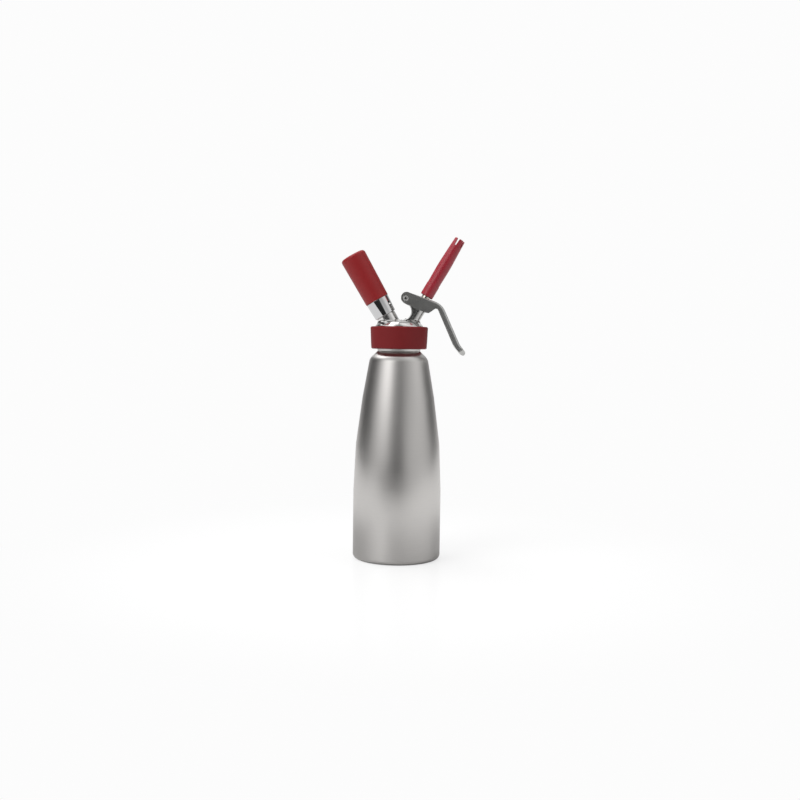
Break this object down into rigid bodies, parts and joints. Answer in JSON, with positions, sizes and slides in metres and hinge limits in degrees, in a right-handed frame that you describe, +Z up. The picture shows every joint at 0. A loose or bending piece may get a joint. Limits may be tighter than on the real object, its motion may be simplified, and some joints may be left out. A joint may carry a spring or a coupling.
{
  "type": "whipped cream dispenser",
  "caption": "Steel bottle with a screw-on head, squeeze lever, sprung valve, screw-on nozzle and a screw-on holder for a gas charger; whips and serves cream.",
  "frame": {"origin": "centre of the base ring, on the surface that the bottle stands on", "axes": "+Z up the bottle's axis; +X towards the nozzle and lever, -X towards the gas charger's holder; +Y to the back when the lever is at the right"},
  "size_m": [0.127, 0.09, 0.3299],
  "materials": {
    "bottle_steel": "fine horizontal brushing, satin",
    "head_steel": "polished, slightly soft edges",
    "stem_steel": "turned, smooth",
    "rivet_steel": "polished",
    "spring_steel": "drawn wire",
    "charger_steel": "zinc-plated, satin",
    "lever_steel": "dark satin, blasted",
    "holder_chrome": "mirror chrome",
    "brass": "turned",
    "adapter_brass": "turned, lightly nickel plated",
    "grip_silicone": "matte dark red silicone",
    "holder_silicone": "matte dark red silicone",
    "nozzle_plastic": "glossy dark red, moulded",
    "seal_silicone": "soft silicone",
    "washer_plastic": "natural nylon"
  },
  "bodies": {
    "bottle_body": {"bottle": "bottle_steel"},
    "gasket_ring": {"head_gasket": "seal_silicone"},
    "head": {"head_shell": "head_steel", "grip_band": "grip_silicone", "valve_arm": "head_steel", "charger_spigot": "head_steel", "pin_holder": "brass", "piercing_pin": "stem_steel", "inlet_sleeve": "seal_silicone", "charger_seal": "seal_silicone", "spring_seat": "washer_plastic", "valve_spring": "spring_steel", "pivot_washer_front": "washer_plastic", "pivot_washer_rear": "washer_plastic"},
    "squeeze_lever": {"lever": "lever_steel", "pivot_rivet": "rivet_steel"},
    "valve_rod": {"valve_stem": "stem_steel", "stem_seal": "seal_silicone", "stem_o_ring": "seal_silicone", "nozzle_adapter": "adapter_brass"},
    "nozzle_washer": {"nozzle_seal": "seal_silicone"},
    "spray_nozzle": {"nozzle": "nozzle_plastic", "nozzle_insert": "brass"},
    "gas_bulb": {"gas_charger": "charger_steel"},
    "charger_holder": {"charger_sleeve": "holder_chrome", "charger_grip": "holder_silicone"}
  },
  "joints": [
    {"name": "head_lift", "type": "slide", "parent": "bottle_body", "child": "gasket_ring", "axis": [0, 0, 1], "range_m": [0, 0.008]},
    {"name": "head_turn", "type": "hinge", "parent": "gasket_ring", "child": "head", "pos_m": [0, 0, 0.222], "axis": [0, 0, 1], "range_deg": [0, 720]},
    {"name": "lever_squeeze", "type": "hinge", "parent": "head", "child": "squeeze_lever", "pos_m": [0.00613, 0, 0.26688], "axis": [0, 1, 0], "range_deg": [0, 13], "stiffness_Nm_per_rad": 1.2, "springref_deg": -13.18, "deforming": ["valve_spring"]},
    {"name": "valve_travel", "type": "slide", "parent": "head", "child": "valve_rod", "axis": [-0.5, 0, -0.866], "range_m": [0, 0.004], "deforming": ["valve_spring"]},
    {"name": "nozzle_lift", "type": "slide", "parent": "valve_rod", "child": "nozzle_washer", "axis": [0.5, 0, 0.866], "range_m": [0, 0.0045]},
    {"name": "nozzle_turn", "type": "hinge", "parent": "nozzle_washer", "child": "spray_nozzle", "pos_m": [0, 0, 0.2223], "axis": [0.5, 0, 0.866], "range_deg": [0, 1080]},
    {"name": "charger_lift", "type": "slide", "parent": "head", "child": "gas_bulb", "axis": [-0.5, 0, 0.866], "range_m": [0, 0.00625]},
    {"name": "charger_turn", "type": "hinge", "parent": "gas_bulb", "child": "charger_holder", "pos_m": [0, 0, 0.2252], "axis": [-0.5, 0, 0.866], "range_deg": [0, 900]}
  ],
  "couplings": [
    {"joint": "head_lift", "follows": "head_turn", "m_per_rad": 0.0006366},
    {"joint": "valve_travel", "follows": "lever_squeeze", "m_per_rad": 0.0175},
    {"joint": "nozzle_lift", "follows": "nozzle_turn", "m_per_rad": 0.0002387},
    {"joint": "charger_lift", "follows": "charger_turn", "m_per_rad": 0.0003978}
  ]
}
